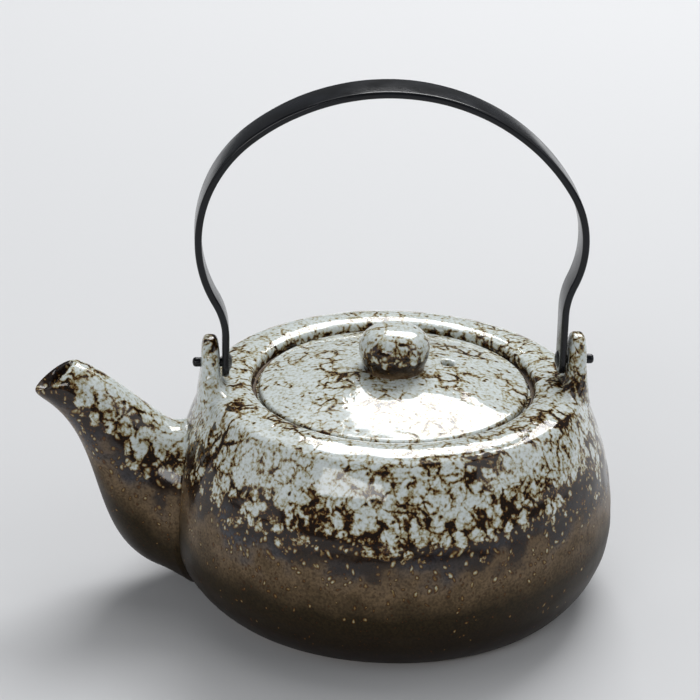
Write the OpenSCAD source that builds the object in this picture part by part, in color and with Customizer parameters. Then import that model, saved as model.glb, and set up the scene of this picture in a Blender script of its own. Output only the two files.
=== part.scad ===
// Stoneware teapot with an overhead steel bail.
// Millimetres. +Z is up, the origin is the middle of the base on the pot's axis.
// The spout points to -X, and the bail turns about the X axis through its two lugs.

/* [Pot] */
// Largest radius of the belly
belly_r = 70; // [62:0.5:74]
// Height of the largest radius above the base
belly_z = 24.2; // [20:0.1:28]
// Radius of the arc from the belly up to the shoulder
upper_arc_r = 84; // [76:1:100]
// Radius of the arc from the belly down to the foot
lower_arc_r = 29; // [26:0.5:32]
// Height of the shoulder's crown
shoulder_z = 69.4; // [69:0.1:70]
// Distance of the crown's highest line from the pot's axis
crest_r = 49; // [48:0.1:50]
// Radius of the crown's gentle dome, outside its highest line
crown_r = 22; // [18:0.5:26]
// Radius of the shoulder's rounding, between the crown and the wall
shoulder_r = 4.5; // [3.5:0.1:6]
// Thickness of the wall
wall = 4; // [3:0.1:5]
// Thickness of the floor
floor_t = 5; // [4:0.1:7]

/* [Foot] */
// Outer radius of the foot's flat ring
foot_r = 55.5; // [52:0.5:56.5]
// Width of the foot's flat ring
foot_w = 6; // [4:0.5:10]
// Depth of the hollow inside the foot ring
foot_recess = 1.4; // [0.5:0.1:2.5]

/* [Rim and gallery] */
// Radius of the wall around the lid
rim_r = 44.2; // [43.4:0.1:46]
// Radius of the crown's roll towards the lid
rim_roll_r = 11; // [8:0.5:14]
// Radius of the rim's rounded edge
rim_edge_r = 1.5; // [0.8:0.1:2]
// Height of the ledge that the lid rests on
ledge_z = 65.2; // [64:0.1:66]
// Radius of the opening inside the ledge
mouth_r = 38.5; // [36:0.1:40]

/* [Strainer] */
// Diameter of a strainer hole
strainer_d = 4; // [3:0.1:5]
// Distance between strainer holes
strainer_pitch = 7; // [6:0.1:8]
// Height of the strainer's middle
strainer_z = 27; // [24:0.5:32]

/* [Spout] */
// Reach of the lower lip from the pot's axis
spout_reach = 112; // [105:0.5:118]
// Height of the upper lip
spout_tip_z = 76.2; // [72:0.1:80]
// Half width of the spout where it leaves the wall
spout_root_half_w = 17; // [14:0.5:20]
// Half width of the spout at the mouth
spout_tip_half_w = 6.8; // [5.5:0.1:8]
// Thickness of the spout's wall
spout_wall = 2.6; // [2:0.1:3]

/* [Lugs] */
// Distance from the pot's axis to a lug's inner face
lug_in = 54; // [53:0.1:55]
// Thickness of a lug at the pin
lug_t = 6; // [5:0.1:7]
// Height of the bail's pivot
pivot_z = 75.4; // [74.6:0.1:77]
// Height of a lug's top
lug_top_z = 84.2; // [83:0.1:87]
// Half width of a lug at the pin
lug_half_w = 7.4; // [6.5:0.1:9]
// Half width of a lug where it meets the shoulder
lug_root_half_w = 11.5; // [9:0.5:14]

/* [Bail] */
// Thickness of the strap
strap_t = 2.2; // [1.8:0.1:2.6]
// Width of the strap at the top of the arch
strap_w = 13; // [10:0.5:14]
// Radius of the strap's rounded ends
eye_r = 4.6; // [4:0.1:5]
// Gap between the strap and a lug
strap_gap = 0.6; // [0.3:0.1:1]
// Height of the strap's middle line at the top of the arch
arch_z = 164; // [160:0.5:175]
// Lean of the hand-bent arch towards the spout
arch_lean = 4; // [0:0.5:6]
// Radius of the arch at the top
arch_r = 66; // [65:0.5:68]
// Reach of the bow on the spout side
front_bow = 60.7; // [59:0.1:61]
// Reach of the bow on the far side
rear_bow = 57.3; // [56.6:0.1:57.8]
// Height of the bow on the spout side
front_bow_z = 117; // [116:0.5:118]
// Height of the bow on the far side
rear_bow_z = 115; // [114:0.5:116]
// Radius of the bend between a leg and its bow
foot_bend_r = 24; // [18:1:28]

/* [Pins] */
// Diameter of a pin
pin_d = 3; // [2.6:0.1:3.4]
// Radial play of a pin in its lug
pin_play = 0.05; // [0.02:0.01:0.09]
// Length of a pin outside its lug
pin_out = 2.3; // [1.5:0.1:4]
// Diameter of a pin's riveted head
pin_head_d = 6; // [5:0.1:7]
// Height of a pin's riveted head
pin_head_h = 1; // [0.6:0.1:1.4]

/* [Lid] */
// Radius of the lid
lid_r = 42; // [41:0.1:42.6]
// Height of the lid's dome above its rounded edge
lid_rise = 5.8; // [4:0.1:8]
// Height of the lid's edge above the ledge
lid_edge_h = 2.4; // [2:0.1:3]
// Thickness of the lid
lid_t = 4; // [3:0.1:5]
// Radial play of the lid's flange in the mouth
flange_play = 0.6; // [0.3:0.1:1.2]
// Thickness of the lid's flange
flange_t = 3; // [2:0.1:4]
// Depth of the lid's flange below the ledge
flange_h = 8; // [5:0.5:12]
// Diameter of the vent
vent_d = 4; // [2.5:0.1:5]
// Distance of the vent from the lid's middle
vent_at = 18; // [15:0.5:24]
// Direction of the vent from the far side
vent_angle = 16; // [0:1:90]

/* [Knob] */
// Largest radius of the knob
knob_r = 11; // [9:0.1:12]
// Radius of the knob's foot
knob_foot_r = 8.6; // [6:0.1:9]
// Height of the knob
knob_h = 13.6; // [12:0.1:16]
// Height of the knob's largest radius above its foot
knob_belly_h = 7.4; // [5:0.1:8]

/* [Hidden] */

$fn = 96;
EPS = 0.01;
EDGE_TOL = 0.04;
SKIN_TOL = 0.1;
INNER_TOL = 0.2;

clay_pale = "#c3cbcc";
clay_brown = "#4a3c30";
steel_black = "#222326";

// Points on an arc in a profile, from one angle to another, with chords that stay within tol of it
function arc(c, r, a0, a1, tol = EDGE_TOL) =
    let (n = max(2, ceil(abs(a1 - a0) / (2 * acos(1 - tol / r)))))
    [for (i = [0 : n]) let (a = a0 + (a1 - a0) * i / n) c + r * [cos(a), sin(a)]];

// A list without its first item, and a list turned round
function rest(list) = [for (i = [1 : len(list) - 1]) list[i]];
function back(list) = [for (i = [len(list) - 1 : -1 : 0]) list[i]];

// Point at t on a cubic curve with four control points
function cubic(p, t) =
    pow(1 - t, 3) * p[0] + 3 * t * pow(1 - t, 2) * p[1] + 3 * t * t * (1 - t) * p[2] + pow(t, 3) * p[3];

// Straight change from a to b, and a smooth one
function mix(a, b, t) = a + (b - a) * t;
function ease(a, b, t) = mix(a, b, t * t * (3 - 2 * t));

// Angle of the line from one point to another
function way(from, to) = atan2(to.y - from.y, to.x - from.x);

// The pot's profile is a chain of tangent arcs: lower belly, upper belly, shoulder, crown, roll and rim
upper_c = [belly_r - upper_arc_r, belly_z];
lower_c = [belly_r - lower_arc_r, belly_z];
crown_c = [crest_r, shoulder_z - crown_r];
crown_dist = norm(crown_c - upper_c);
shoulder_dist = upper_arc_r - shoulder_r;
crown_gap = crown_r - shoulder_r;
shoulder_a = way(upper_c, crown_c) + acos(
    (pow(shoulder_dist, 2) + pow(crown_dist, 2) - pow(crown_gap, 2)) / (2 * shoulder_dist * crown_dist));
shoulder_c = upper_c + shoulder_dist * [cos(shoulder_a), sin(shoulder_a)];
crown_a = way(crown_c, shoulder_c);
roll_c = [crest_r, shoulder_z - rim_roll_r];
roll_a = acos((rim_r + rim_edge_r - crest_r) / (rim_roll_r - rim_edge_r));
rim_c = roll_c + (rim_roll_r - rim_edge_r) * [cos(roll_a), sin(roll_a)];
foot_edge_z = 1.2;
foot_a = -asin((belly_z - foot_edge_z) / lower_arc_r);

outer_wall = concat(
    [[foot_r, 0]],
    arc(lower_c, lower_arc_r, foot_a, 0, SKIN_TOL),
    rest(arc(upper_c, upper_arc_r, 0, shoulder_a, SKIN_TOL)),
    rest(arc(shoulder_c, shoulder_r, shoulder_a, crown_a, SKIN_TOL)),
    rest(arc(crown_c, crown_r, crown_a, 90, SKIN_TOL))
);

// The inside follows the outside at the wall's thickness
inner_low_r = lower_arc_r - wall;
inner_floor_a = -asin((belly_z - floor_t) / inner_low_r);
neck_z = ledge_z - wall;
gallery_drop = 0.5;
inner_wall = concat(
    [[0, floor_t]],
    arc(lower_c, inner_low_r, inner_floor_a, 0, INNER_TOL),
    rest(arc(upper_c, upper_arc_r - wall, 0, shoulder_a, INNER_TOL)),
    [[rim_r + wall, shoulder_z - wall - gallery_drop], [rim_r, neck_z], [mouth_r, neck_z]]
);

pot_profile = concat(
    outer_wall,
    rest(arc(roll_c, rim_roll_r, 90, roll_a, SKIN_TOL)),
    rest(arc(rim_c, rim_edge_r, roll_a, 180, SKIN_TOL)),
    [[rim_r, ledge_z], [mouth_r, ledge_z]],
    back(inner_wall),
    [[0, foot_recess], [foot_r - foot_w - foot_recess, foot_recess], [foot_r - foot_w, 0]]
);

// Everything inside the pot's outer skin, which trims what is luted to it
module pot_outside() {
    rotate_extrude()
        polygon(concat([[0, 0]], outer_wall, [[0, shoulder_z]]));
}

// The strainer is a staggered group: two holes, three and two
strainer_rows = [-1, 0, 1];
strainer_row_h = strainer_pitch * sin(60);
strainer_depth = 30;
function holes_in(row) = 3 - abs(row) % 2;

module strainer_holes() {
    for (row = strainer_rows)
        for (i = [0 : holes_in(row) - 1])
            let (side = (i - (holes_in(row) - 1) / 2) * strainer_pitch)
                translate([-belly_r - EPS, side, strainer_z + row * strainer_row_h])
                    rotate([0, 90, 0])
                        cylinder(d = strainer_d, h = strainer_depth, $fn = 32);
}

module pot_body() {
    color(clay_brown)
        difference() {
            rotate_extrude()
                polygon(pot_profile);
            strainer_holes();
        }
}

// A closed solid through a list of rings, each with the same number of points
module loft(rings) {
    n = len(rings[0]);
    m = len(rings);
    polyhedron(
        points = [for (ring = rings) each ring],
        faces = concat(
            [[for (j = [0 : n - 1]) j]],
            [for (i = [0 : m - 2], j = [0 : n - 1])
                let (a = i * n + j, b = i * n + (j + 1) % n)
                each [[a, b + n, b], [a, a + n, b + n]]],
            [[for (j = [n - 1 : -1 : 0]) (m - 1) * n + j]]
        )
    );
}

// The spout's upper and lower lines, from inside the wall to the two lips
mouth_run = 13.4;
mouth_drop = 10.2;
spout_lip = [-spout_reach, spout_tip_z - mouth_drop];
spout_top = [-spout_reach + mouth_run, spout_tip_z];
spout_upper = [[-55, 45.5], [-74, 56], [-86, spout_tip_z - 5], spout_top];
spout_lower = [[-58, 3], [-103, 4.5], [-83, 51], spout_lip];
lip_edge = 0.8;
lip_t = 0.975;
past_mouth = 1.02;
taper_power = 1.3;
SPOUT_RINGS = 18;
SPOUT_SIDES = 36;

// One oval ring of the spout at t, with its wall taken off by inset
function spout_ring(t, inset) =
    let (
        u = cubic(spout_upper, t),
        l = cubic(spout_lower, t),
        mid = (u + l) / 2,
        half_h = norm(u - l) / 2 - inset,
        dir = (u - l) / norm(u - l),
        half_w = mix(spout_root_half_w, spout_tip_half_w, pow(t, taper_power)) - inset
    )
    [for (j = [0 : SPOUT_SIDES - 1])
        let (a = 360 * j / SPOUT_SIDES, p = mid + dir * half_h * cos(a))
        [p.x, half_w * sin(a), p.y]];

function spout_rings(inset, t_end) =
    [for (i = [0 : SPOUT_RINGS]) spout_ring(t_end * i / SPOUT_RINGS, inset)];

// The lip is drawn in a little at the mouth, and the channel runs out past it
module spout() {
    color(clay_brown)
        difference() {
            loft(concat(spout_rings(0, lip_t), [spout_ring(1, lip_edge)]));
            loft(spout_rings(spout_wall, past_mouth));
            pot_outside();
        }
}

// A lug is a tongue lofted up from the wall: its outer face runs on from the wall,
// and its foot spreads along the shoulder and curls inwards there
LUG_RINGS = 26;
LUG_SIDES = 32;
lug_out = lug_in + lug_t;
lug_root_z = shoulder_z - 11;
lug_spread_z = shoulder_z - 1;
lug_curl_r = 28;
lug_foot_t = 0.9;
lug_lean = 2.6;
flare_power = 1.7;
lean_power = 1.3;
top_power = 2.4;
side_power = 0.8;
face_power = 0.7;
least = 0.05;

// 0 at the pin and 1 at the shoulder's crown, held from the widest place down
function lug_flare(z) =
    pow(max(0, (pivot_z - max(z, lug_spread_z)) / (pivot_z - shoulder_z)), flare_power);

// Share of a lug's width left where its top and its foot round off
function rounded(t, power) = sqrt(max(least * least, 1 - pow(max(0, t), power)));
function lug_close(z) =
    rounded((z - pivot_z) / (lug_top_z - pivot_z), top_power)
    * rounded((lug_spread_z - z) / (lug_spread_z - lug_root_z), 2);

// The outer face leans out below the pin, until the wall takes it up
function lug_face(z) =
    lug_out + lug_lean * pow(max(0, (pivot_z - z) / (pivot_z - lug_root_z)), lean_power);

// Rounded oblong ring of a lug at height z, its inner side curled and its outer side round the pot
function lug_ring(z) =
    let (
        flare = lug_flare(z),
        close = lug_close(z),
        outer = lug_face(z),
        inner = lug_in - lug_foot_t * pow(flare, 3),
        mid = (inner + outer) / 2,
        half_t = (outer - inner) / 2 * sqrt(close),
        half_w = mix(lug_half_w, lug_root_half_w, flare) * close
    )
    [for (j = [0 : LUG_SIDES - 1])
        let (
            w = 360 * j / LUG_SIDES,
            side = half_w * sign(sin(w)) * pow(abs(sin(w)), side_power),
            out = half_t * sign(cos(w)) * pow(abs(cos(w)), face_power),
            curl = flare * mix(1 / lug_curl_r, 1 / lug_out, (1 + cos(w)) / 2)
        )
        [mid + out - curl * side * side / 2, side, z]];

module lug() {
    color(clay_pale)
        difference() {
            loft([for (i = [0 : LUG_RINGS])
                lug_ring(mix(lug_root_z, lug_top_z, (1 - cos(180 * i / LUG_RINGS)) / 2))]);
            pot_outside();
            translate([lug_in - wall, 0, pivot_z])
                rotate([0, 90, 0])
                    cylinder(d = pin_d + 2 * pin_play, h = lug_t + 2 * wall, $fn = 48);
        }
}

module front_lug() {
    mirror([1, 0, 0])
        lug();
}

module rear_lug() {
    lug();
}

// The lid's dome is a shallow arc, with a flat seat for the knob
dome_edge_r = 1.5;
dome_r = lid_r - dome_edge_r;
dome_z = ledge_z + lid_edge_h;
dome_arc_r = (pow(dome_r, 2) + pow(lid_rise, 2)) / (2 * lid_rise);
dome_top = dome_z + lid_rise;
dome_c = [0, dome_top - dome_arc_r];
dome_a = acos(dome_r / dome_arc_r);
function dome_at(r) = dome_c.y + sqrt(pow(dome_arc_r, 2) - r * r);
knob_z = dome_at(knob_foot_r);
flange_r = mouth_r - flange_play;
under_r = flange_r - flange_t;
under_arc_r = dome_arc_r - lid_t;
under_a = acos(under_r / under_arc_r);
knob_seat_a = acos(knob_foot_r / dome_arc_r);
DOME_STEPS = 10;

function dome_arc(r, a0, a1) =
    [for (i = [0 : DOME_STEPS]) let (a = mix(a0, a1, i / DOME_STEPS)) dome_c + r * [cos(a), sin(a)]];

lid_profile = concat(
    [[flange_r, ledge_z - flange_h], [flange_r, ledge_z], [lid_r, ledge_z]],
    arc([dome_r, dome_z - dome_edge_r], dome_edge_r, 0, dome_a),
    dome_arc(dome_arc_r, dome_a, knob_seat_a),
    [[0, knob_z]],
    dome_arc(under_arc_r, 90, under_a),
    [[under_r, ledge_z - flange_h]]
);

module lid() {
    color(clay_pale)
        difference() {
            rotate_extrude()
                polygon(lid_profile);
            rotate([0, 0, vent_angle])
                translate([vent_at, 0, ledge_z])
                    cylinder(d = vent_d, h = 2 * wall + lid_rise, $fn = 32);
        }
}

// The knob swells from its foot to its largest radius and closes in a flattened dome
KNOB_STEPS = 14;
knob_power = 0.75;
knob_profile = concat(
    [[0, 0]],
    [for (i = [0 : KNOB_STEPS])
        let (t = i / KNOB_STEPS) [ease(knob_foot_r, knob_r, sqrt(t)), knob_belly_h * t]],
    [for (i = [1 : KNOB_STEPS])
        let (a = 90 * i / KNOB_STEPS)
        [knob_r * pow(cos(a), knob_power), knob_belly_h + (knob_h - knob_belly_h) * sin(a)]]
);

module lid_knob() {
    color(clay_pale)
        translate([0, 0, knob_z])
            rotate_extrude()
                polygon(knob_profile);
}

// The strap's middle line is a chain of tangent arcs: leg, foot bend, bow, arch, bow, foot bend, leg
leg_x = lug_in - strap_gap - strap_t / 2;
arch_c = [-arch_lean, arch_z - arch_r];

// Radius of a bow that reaches x at height z and is tangent to the arch
function bow_radius(x, z) =
    let (reach = x, drop = z - arch_c.y)
    (arch_r * arch_r - reach * reach - drop * drop) / (2 * (arch_r - reach));

front_bow_r = bow_radius(front_bow - arch_lean, front_bow_z);
rear_bow_r = bow_radius(rear_bow + arch_lean, rear_bow_z);
front_bow_c = [-front_bow + front_bow_r, front_bow_z];
rear_bow_c = [rear_bow - rear_bow_r, rear_bow_z];

// A bow's slope where it meets the foot bend
function bend_angle(bow, bow_r) = acos(1 - (bow - leg_x) / (bow_r + foot_bend_r));
front_bend = bend_angle(front_bow, front_bow_r);
rear_bend = bend_angle(rear_bow, rear_bow_r);
front_leg_z = front_bow_z - (front_bow_r + foot_bend_r) * sin(front_bend);
rear_leg_z = rear_bow_z - (rear_bow_r + foot_bend_r) * sin(rear_bend);

// One side of the strap, o outside its middle line, from eye to eye
front_a = way(arch_c, front_bow_c);
rear_a = way(arch_c, rear_bow_c);
leg_end_z = pivot_z - eye_r;
function strap_side(o) = concat(
    [[-leg_x - o, leg_end_z]],
    arc([-leg_x - foot_bend_r, front_leg_z], foot_bend_r - o, 0, front_bend),
    rest(arc(front_bow_c, front_bow_r + o, 180 + front_bend, front_a)),
    rest(arc(arch_c, arch_r + o, front_a, rear_a)),
    rest(arc(rear_bow_c, rear_bow_r + o, rear_a, -rear_bend)),
    rest(arc([leg_x + foot_bend_r, rear_leg_z], foot_bend_r - o, 180 - rear_bend, 180)),
    [[leg_x + o, leg_end_z]]
);

// The strap's blank seen along the pivot: it narrows from the arch to a round eye at the pins
taper_h = 72;
blank_h = arch_z - pivot_z + strap_t;
module strap_blank() {
    translate([0, pivot_z])
        circle(r = eye_r);
    translate([0, pivot_z])
        polygon([[-eye_r, 0], [eye_r, 0], [strap_w / 2, taper_h], [strap_w / 2, blank_h],
            [-strap_w / 2, blank_h], [-strap_w / 2, taper_h]]);
}

module bail_handle() {
    color(steel_black)
        difference() {
            intersection() {
                rotate([90, 0, 0])
                    linear_extrude(2 * strap_w, center = true)
                        polygon(concat(strap_side(strap_t / 2), back(strap_side(-strap_t / 2))));
                rotate([90, 0, 90])
                    linear_extrude(2 * belly_r, center = true)
                        strap_blank();
            }
            for (side = [-1, 1])
                translate([side * leg_x, 0, pivot_z])
                    rotate([0, 90, 0])
                        cylinder(d = pin_d, h = 2 * strap_t, center = true, $fn = 48);
        }
}

// A pin is riveted through the strap and turns in its lug
pin_edge = 0.8;
pin_tip = lug_out + pin_out;
pin_inner = leg_x - strap_t / 2;
head_arc_r = (pow(pin_head_d / 2, 2) + pow(pin_head_h, 2)) / (2 * pin_head_h);
head_a = asin(pin_head_d / 2 / head_arc_r);
pin_profile = concat(
    arc([0, pin_inner - pin_head_h + head_arc_r], head_arc_r, -90, -90 + head_a),
    [[pin_d / 2, pin_inner]],
    arc([pin_d / 2 - pin_edge, pin_tip - pin_edge], pin_edge, 0, 90),
    [[0, pin_tip]]
);

module pin() {
    color(steel_black)
        translate([0, 0, pivot_z])
            rotate([0, 90, 0])
                rotate_extrude($fn = 64)
                    polygon(pin_profile);
}

module front_pivot_pin() {
    mirror([1, 0, 0])
        pin();
}

module rear_pivot_pin() {
    pin();
}

pot_body();
spout();
front_lug();
rear_lug();
lid();
lid_knob();
bail_handle();
front_pivot_pin();
rear_pivot_pin();
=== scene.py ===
"""Stoneware teapot with an overhead steel bail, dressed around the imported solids.

Every piece is a surface worked out with numpy in millimetres, in the solids' own frame: +Z is up,
the origin is the middle of the base, the spout points to -X and the bail turns about X through its
lugs.
"""

import bmesh
import bpy
import numpy as np
from mathutils import Matrix, Vector


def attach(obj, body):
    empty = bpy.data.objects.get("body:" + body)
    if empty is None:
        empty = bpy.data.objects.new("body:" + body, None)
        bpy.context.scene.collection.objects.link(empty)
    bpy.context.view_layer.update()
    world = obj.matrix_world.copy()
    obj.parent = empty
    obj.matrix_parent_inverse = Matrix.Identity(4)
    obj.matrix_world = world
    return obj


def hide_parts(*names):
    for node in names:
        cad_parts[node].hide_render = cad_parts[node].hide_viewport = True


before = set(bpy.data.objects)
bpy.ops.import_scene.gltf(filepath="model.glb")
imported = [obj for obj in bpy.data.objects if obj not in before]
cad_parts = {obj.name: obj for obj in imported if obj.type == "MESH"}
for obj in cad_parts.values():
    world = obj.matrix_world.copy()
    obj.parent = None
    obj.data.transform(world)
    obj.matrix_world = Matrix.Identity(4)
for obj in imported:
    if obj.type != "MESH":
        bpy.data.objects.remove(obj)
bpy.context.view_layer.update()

MM = 0.001
PER_M = 1000.0
TURN = 2 * np.pi
QUARTER = np.pi / 2

# The pot's profile is a chain of tangent arcs, as in the solids:
# lower belly, upper belly, shoulder, crown, roll and rim
BELLY_R, BELLY_Z = 70.0, 24.2
UPPER_R, LOWER_R = 84.0, 29.0
SHOULDER_Z, SHOULDER_R = 69.4, 4.5
CREST_R, CROWN_R, ROLL_R = 49.0, 22.0, 11.0
WALL, FLOOR_T = 4.0, 5.0
FOOT_R, FOOT_W, FOOT_RECESS, FOOT_EDGE_Z = 55.5, 6.0, 1.4, 1.2
RIM_R, RIM_EDGE = 44.2, 1.5
LEDGE_Z, MOUTH_R, GALLERY_DROP = 65.2, 38.5, 0.5
NECK_Z = LEDGE_Z - WALL
UPPER_C = np.array([BELLY_R - UPPER_R, BELLY_Z])
LOWER_C = np.array([BELLY_R - LOWER_R, BELLY_Z])
CROWN_C = np.array([CREST_R, SHOULDER_Z - CROWN_R])
ROLL_C = np.array([CREST_R, SHOULDER_Z - ROLL_R])
CROWN_DIST, SHOULDER_DIST = np.hypot(*(CROWN_C - UPPER_C)), UPPER_R - SHOULDER_R
SHOULDER_A = np.arctan2(*(CROWN_C - UPPER_C)[::-1]) + np.arccos(
    (SHOULDER_DIST ** 2 + CROWN_DIST ** 2 - (CROWN_R - SHOULDER_R) ** 2)
    / (2 * SHOULDER_DIST * CROWN_DIST))
SHOULDER_C = UPPER_C + SHOULDER_DIST * np.array([np.cos(SHOULDER_A), np.sin(SHOULDER_A)])
CROWN_A = np.arctan2(*(SHOULDER_C - CROWN_C)[::-1])
ROLL_A = np.arccos((RIM_R + RIM_EDGE - CREST_R) / (ROLL_R - RIM_EDGE))
RIM_C = ROLL_C + (ROLL_R - RIM_EDGE) * np.array([np.cos(ROLL_A), np.sin(ROLL_A)])

# Throwing left the wall a little out of round and ringed; all of it stays inside the solid
OVAL, LOBES, RINGS, RING_PITCH, DRAWN_IN = 0.12, 0.07, 0.05, 7.5, 0.24

# The strainer and the spout
STRAINER_D, STRAINER_PITCH, STRAINER_Z = 4.0, 7.0, 27.0
SPOUT_UPPER = np.array([[-55, 45.5], [-74, 56], [-86, 71.2], [-98.6, 76.2]])
SPOUT_LOWER = np.array([[-58, 3], [-103, 4.5], [-83, 51], [-112, 66.0]])
SPOUT_ROOT_HALF, SPOUT_TIP_HALF, SPOUT_WALL, SPOUT_TAPER = 17.0, 6.8, 2.6, 1.3
SPOUT_FLARE, FLARE_OVER_TOP, FLARE_OVER_SIDES = 3.0, 5.0, 12.0
SPOUT_SUNK, CHANNEL_SUNK = 1.8, 2.4
LIP_SHARE = SPOUT_WALL / 60

# The lugs, with the powers that round their outline, and the clay smoothed on at their feet
LUG_IN, LUG_OUT, LUG_TOP_Z, PIVOT_Z = 54.0, 60.0, 84.2, 75.4
LUG_HALF, LUG_ROOT_HALF, LUG_CURL, LUG_LEAN, LUG_FOOT = 7.4, 11.5, 28.0, 2.6, 0.9
LUG_ROOT_Z, LUG_SPREAD_Z = SHOULDER_Z - 11, SHOULDER_Z - 1
FLARE_POWER, LEAN_POWER, TOP_POWER, SIDE_POWER, FACE_POWER = 1.7, 1.3, 2.4, 0.8, 0.7
LUG_FILLET, LUG_FILLET_OVER, LUG_SUNK, LUG_LEAST, BORE_D = 0.7, 1.6, 1.3, 0.0025, 3.1

# The bail and its pins
STRAP_T, STRAP_W, EYE_R, STRAP_GAP, TAPER_H = 2.2, 13.0, 4.6, 0.6, 72.0
STRAP_EDGE, STRAP_INSIDE = 0.75, 0.03
ARCH_Z, ARCH_LEAN, ARCH_R, FOOT_BEND = 164.0, 4.0, 66.0, 24.0
FRONT_BOW, FRONT_BOW_Z, REAR_BOW, REAR_BOW_Z = 60.7, 117.0, 57.3, 115.0
PIN_D, PIN_OUT, PIN_HEAD_D, PIN_HEAD_H = 3.0, 2.3, 6.0, 1.0
PIN_EDGE, PIN_DOME = 1.1, 0.25

# The lid and its knob
LID_R, LID_RISE, LID_EDGE_H, LID_EDGE, LID_T = 42.0, 5.8, 2.4, 1.5, 4.0
FLANGE_R, FLANGE_T, FLANGE_H = MOUTH_R - 0.6, 3.0, 8.0
VENT_D, VENT_AT, VENT_A, VENT_EDGE = 4.0, 18.0, np.radians(16), 1.4
KNOB_R, KNOB_FOOT, KNOB_H, KNOB_BELLY, KNOB_ROUND = 11.0, 8.6, 13.6, 7.4, 0.75
KNOB_SUNK, KNOB_FILLET, KNOB_FILLET_OVER = 0.6, 0.8, 1.2
DOME_R = LID_R - LID_EDGE
DOME_ARC = (DOME_R ** 2 + LID_RISE ** 2) / (2 * LID_RISE)
DOME_C = LEDGE_Z + LID_EDGE_H + LID_RISE - DOME_ARC

# The edge of the pale run on the wall, higher at the rear and over the spout, and on the spout
RUN_Z, RUN_REAR, RUN_SPOUT = 43.2, 2.5, 5.0
SPOUT_RUN_Z, SPOUT_RUN_X, SPOUT_RUN_RISE = 42.0, -72.0, 0.8
# Heights over that edge for faces that lie in one glaze: 30 is wholly pale, below 0 is iron
ALL_PALE, LUG_PALE = 30.0, 17.0
INSIDE_POT, INSIDE_SPOUT, UNDER_LID, LID_FLANGE = -17.0, -4.0, -12.0, -8.0


def mix(a, b, t):
    """Straight change from a to b."""
    return a + (b - a) * t


def step(a, b, x):
    """Smooth change from 0 at a to 1 at b: 3t^2 - 2t^3."""
    t = np.clip((x - a) / (b - a), 0, 1)
    return t * t * (3 - 2 * t)


def arc(c, r, a0, a1, pitch):
    """Points on an arc round c from angle a0 to a1, about pitch millimetres apart."""
    n = max(2, int(np.ceil(abs(a1 - a0) * abs(r) / pitch)))
    a = np.linspace(a0, a1, n + 1)
    return np.stack([c[0] + r * np.cos(a), c[1] + r * np.sin(a)], 1)


def rounded(corners, pitch):
    """A line through corners (x, y, radius), each rounded by its fillet, straights split at pitch.

    A fillet is a quadratic from tangent point to tangent point, which is close to its arc.
    """
    c = np.array(corners, float)
    t = np.linspace(0, 1, 7)[:, None]
    out = [c[:1, :2]]
    for before, (x, y, r), after in zip(c[:-2, :2], c[1:-1], c[2:, :2]):
        p = np.array([x, y])
        a, b = before - p, after - p
        a, b = a / np.hypot(*a), b / np.hypot(*b)
        half = np.arccos(np.clip(a @ b, -1, 1)) / 2
        start, end = p + a * r / np.tan(half), p + b * r / np.tan(half)
        out.append((1 - t) ** 2 * start + 2 * t * (1 - t) * p + t ** 2 * end)
    out.append(c[-1:, :2])
    return split(np.concatenate(out), pitch)


def split(line, pitch):
    """The same line with its long straights divided so that no step is longer than pitch."""
    steps = np.hypot(*np.diff(line, axis=0).T)
    parts = np.maximum(1, np.ceil(steps / pitch)).astype(int)
    at = np.concatenate([i + np.arange(n) / n for i, n in enumerate(parts)] + [[len(parts)]])
    return np.stack([np.interp(at, np.arange(len(line)), line[:, k]) for k in (0, 1)], 1)


def revolve(profile, sides):
    """A profile (r, z) turned round Z: (r cos a, r sin a, z) on a grid of profile by angle."""
    a = np.arange(sides) * TURN / sides
    r, z = profile[:, :1], profile[:, 1:]
    return np.stack([r * np.cos(a), r * np.sin(a), z + 0 * a], -1)


def skin_depth(p):
    """Distance of points outside the pot's outer skin.

    It is |p - c| - r for the arc of the pot's profile that faces each point.
    """
    q = np.stack([np.hypot(p[..., 0], p[..., 1]), p[..., 2]], -1)

    def beyond(c, r):
        return np.hypot(*np.moveaxis(q - c, -1, 0)) - r

    def angle(c):
        return np.arctan2(q[..., 1] - c[1], q[..., 0] - c[0])

    return np.select(
        [q[..., 1] < BELLY_Z, angle(UPPER_C) < SHOULDER_A, q[..., 0] < CREST_R,
         angle(CROWN_C) > CROWN_A],
        [beyond(LOWER_C, LOWER_R), beyond(UPPER_C, UPPER_R), beyond(ROLL_C, ROLL_R),
         beyond(CROWN_C, CROWN_R)],
        beyond(SHOULDER_C, SHOULDER_R))


def last_crossing(values, at, level):
    """Per column, the last place where values rise through level going down the rows."""
    below = values < level
    i = np.clip(below.shape[0] - 1 - np.argmax(below[::-1], 0), 0, below.shape[0] - 2)
    j = np.arange(values.shape[1])
    v0, v1 = values[i, j], values[i + 1, j]
    return mix(at[i], at[i + 1], np.clip((level - v0) / (v1 - v0), 0, 1))


def mark(mesh, **values):
    """Writes numbers on the mesh's points, for its glaze to read."""
    for key, value in values.items():
        layer = mesh.attributes.new(key, "FLOAT", "POINT")
        layer.data.foreach_set("value", np.asarray(value, np.float32))


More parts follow.
